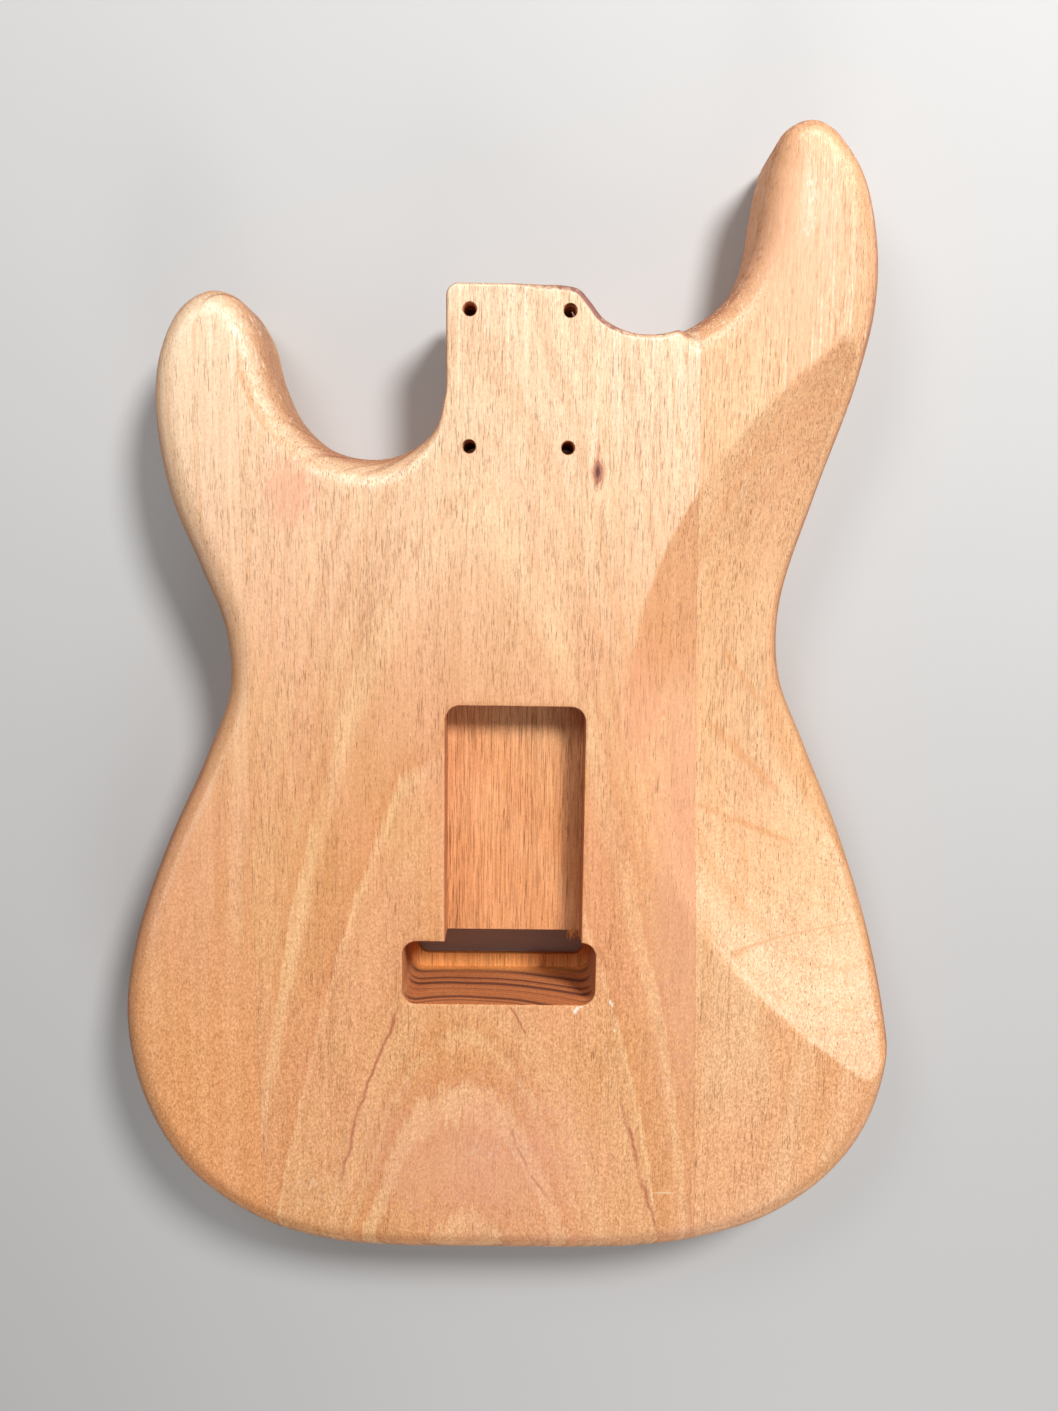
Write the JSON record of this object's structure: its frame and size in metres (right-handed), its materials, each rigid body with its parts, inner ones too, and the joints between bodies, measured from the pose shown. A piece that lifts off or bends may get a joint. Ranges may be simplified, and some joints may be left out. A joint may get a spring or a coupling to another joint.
{
  "type": "electric guitar body",
  "caption": "Solid wood electric guitar body with offset horns, a bolt-on neck pocket, routed tremolo, pickup and control cavities, body contours and rounded edges.",
  "frame": {"origin": "middle of the body's bounding outline, on the plane of its front face", "axes": "+Y from the butt towards the neck along the strings, +X towards the bass side (the long horn), +Z from the front face to the back; the body lies on its front face with its back up, as in the picture"},
  "size_m": [0.3236, 0.4628, 0.0444],
  "materials": {
    "treble_wood": "sanded bare wood with a thin satin oil",
    "centre_wood": "sanded bare wood with a thin satin oil",
    "bass_wood": "sanded bare wood with a thin satin oil"
  },
  "bodies": {
    "root": {"treble_side_board": "treble_wood", "centre_board": "centre_wood", "bass_side_board": "bass_wood"}
  },
  "joints": []
}
